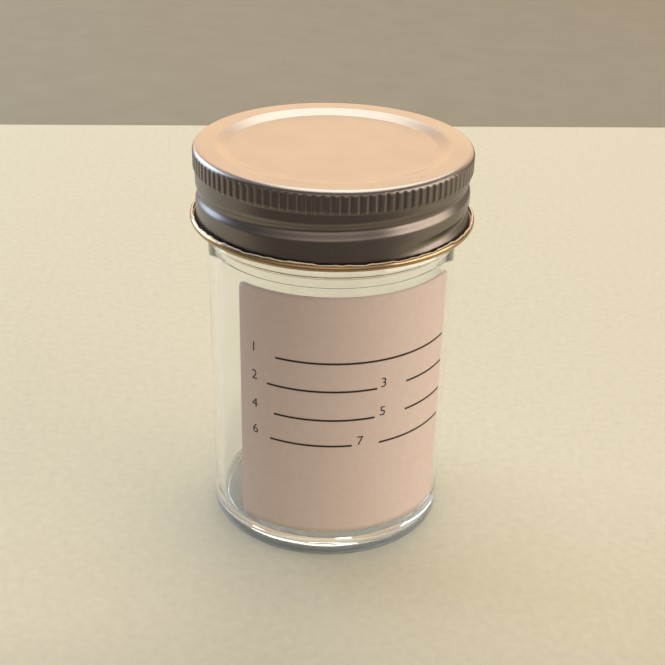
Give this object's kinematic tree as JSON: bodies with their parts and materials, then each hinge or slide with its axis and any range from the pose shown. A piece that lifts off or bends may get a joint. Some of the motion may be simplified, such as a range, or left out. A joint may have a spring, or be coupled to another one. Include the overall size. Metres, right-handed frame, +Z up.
{
  "type": "specimen container",
  "caption": "Clear straight-sided specimen jar with a knurled pressed metal screw cap, a lined seal and a wrapped write-on label; it holds and seals a clinical sample.",
  "frame": {"origin": "centre of the foot ring, on the surface the container stands on", "axes": "+Z up along the container's axis, -Y towards the front of the label, +X to the right"},
  "size_m": [0.044, 0.044, 0.0632],
  "materials": {
    "clear_polystyrene": "clear glossy moulded polystyrene",
    "label_paper": "matt coated paper",
    "label_adhesive": "dry adhesive film",
    "cap_metal": "satin, gold lacquer inside",
    "liner_board": "pressed pulpboard",
    "liner_film": "smooth facing film"
  },
  "bodies": {
    "container": {"container_body": "clear_polystyrene", "label_paper": "label_paper", "label_adhesive": "label_adhesive"},
    "liner": {"cap_liner_board": "liner_board", "cap_liner_film": "liner_film"},
    "cap": {"cap_shell": "cap_metal"}
  },
  "joints": [
    {"name": "cap_lift", "type": "slide", "parent": "container", "child": "liner", "axis": [0, 0, 1], "range_m": [0, 0.01601]},
    {"name": "cap_turn", "type": "hinge", "parent": "liner", "child": "cap", "pos_m": [0, 0, 0.0575], "axis": [0, 0, 1], "range_deg": [0, 1440]}
  ],
  "couplings": [
    {"joint": "cap_lift", "follows": "cap_turn", "m_per_rad": 0.00063662}
  ]
}
